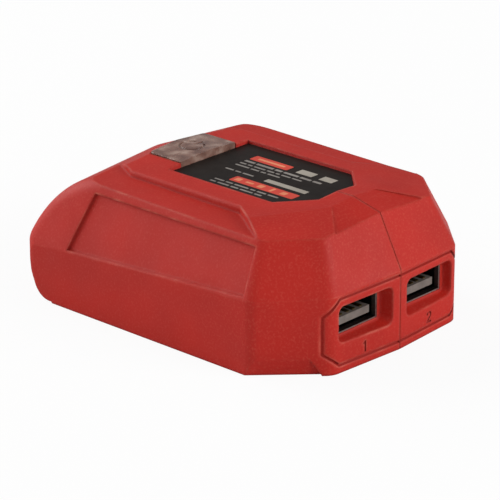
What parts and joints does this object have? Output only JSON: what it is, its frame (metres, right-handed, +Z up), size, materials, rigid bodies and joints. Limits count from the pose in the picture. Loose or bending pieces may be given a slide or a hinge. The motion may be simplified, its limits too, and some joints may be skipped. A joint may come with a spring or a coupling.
{
  "type": "tool battery usb charger",
  "caption": "Red plastic adapter that slides onto a cordless tool battery pack and feeds USB A sockets in its front, with a push button and a label on top.",
  "frame": {"origin": "middle of the flat underside, halfway between the port face and the tail", "axes": "+Z up, -Y towards the USB ports, +Y towards the battery mouth, +X to the right seen from the battery side"},
  "size_m": [0.0706, 0.0908, 0.0347],
  "materials": {
    "housing_plastic": "fine-textured red moulding",
    "label_film": "satin dark printed film",
    "button_plastic": "smoky translucent moulding",
    "plunger_plastic": "pale moulding",
    "switch_plastic": "black moulding",
    "insulator_plastic": "light grey moulding",
    "terminal_plastic": "black glass-filled moulding",
    "plated_steel": "nickel-plated sheet",
    "screw_steel": "black zinc-plated",
    "blade_metal": "tin-plated",
    "gold_plating": "gold-plated",
    "copper_wire": "enamelled copper",
    "ferrite": "dull dark grey",
    "board_laminate": "green solder mask",
    "can_aluminium": "satin",
    "seal_rubber": "matte",
    "ceramic_body": "dull ceramic",
    "chip_plastic": "black epoxy",
    "fuse_body": "pale ceramic",
    "led_lens": "clear resin"
  },
  "bodies": {
    "housing": {"left_housing": "housing_plastic", "right_housing": "housing_plastic", "rating_label": "label_film", "switch_body": "switch_plastic", "switch_cover": "plated_steel", "switch_terminals": "plated_steel", "main_board": "board_laminate", "usb_shell_left": "plated_steel", "usb_shell_right": "plated_steel", "usb_insulator_left": "insulator_plastic", "usb_insulator_right": "insulator_plastic", "usb_contacts_left": "gold_plating", "usb_contacts_right": "gold_plating", "terminal_block": "terminal_plastic", "blade_positive": "blade_metal", "blade_negative": "blade_metal", "blade_sense": "blade_metal", "inductor_core": "ferrite", "inductor_winding": "copper_wire", "electrolytic_cans": "can_aluminium", "electrolytic_seals": "seal_rubber", "ceramic_capacitors": "ceramic_body", "converter_chip": "chip_plastic", "port_chips": "chip_plastic", "diode": "chip_plastic", "fuse": "fuse_body", "status_leds": "led_lens", "housing_screws": "screw_steel", "board_screws": "screw_steel"},
    "button": {"power_button": "button_plastic"},
    "plunger": {"switch_plunger": "plunger_plastic"}
  },
  "joints": [
    {"name": "button_press", "type": "slide", "parent": "housing", "child": "button", "axis": [0, 0, -1], "range_m": [0, 0.0004], "stiffness_N_per_m": 2000, "springref_m": -0.0004},
    {"name": "plunger_press", "type": "slide", "parent": "housing", "child": "plunger", "axis": [0, 0, -1], "range_m": [0, 0.0004]}
  ],
  "couplings": [
    {"joint": "plunger_press", "follows": "button_press", "ratio": 1}
  ]
}
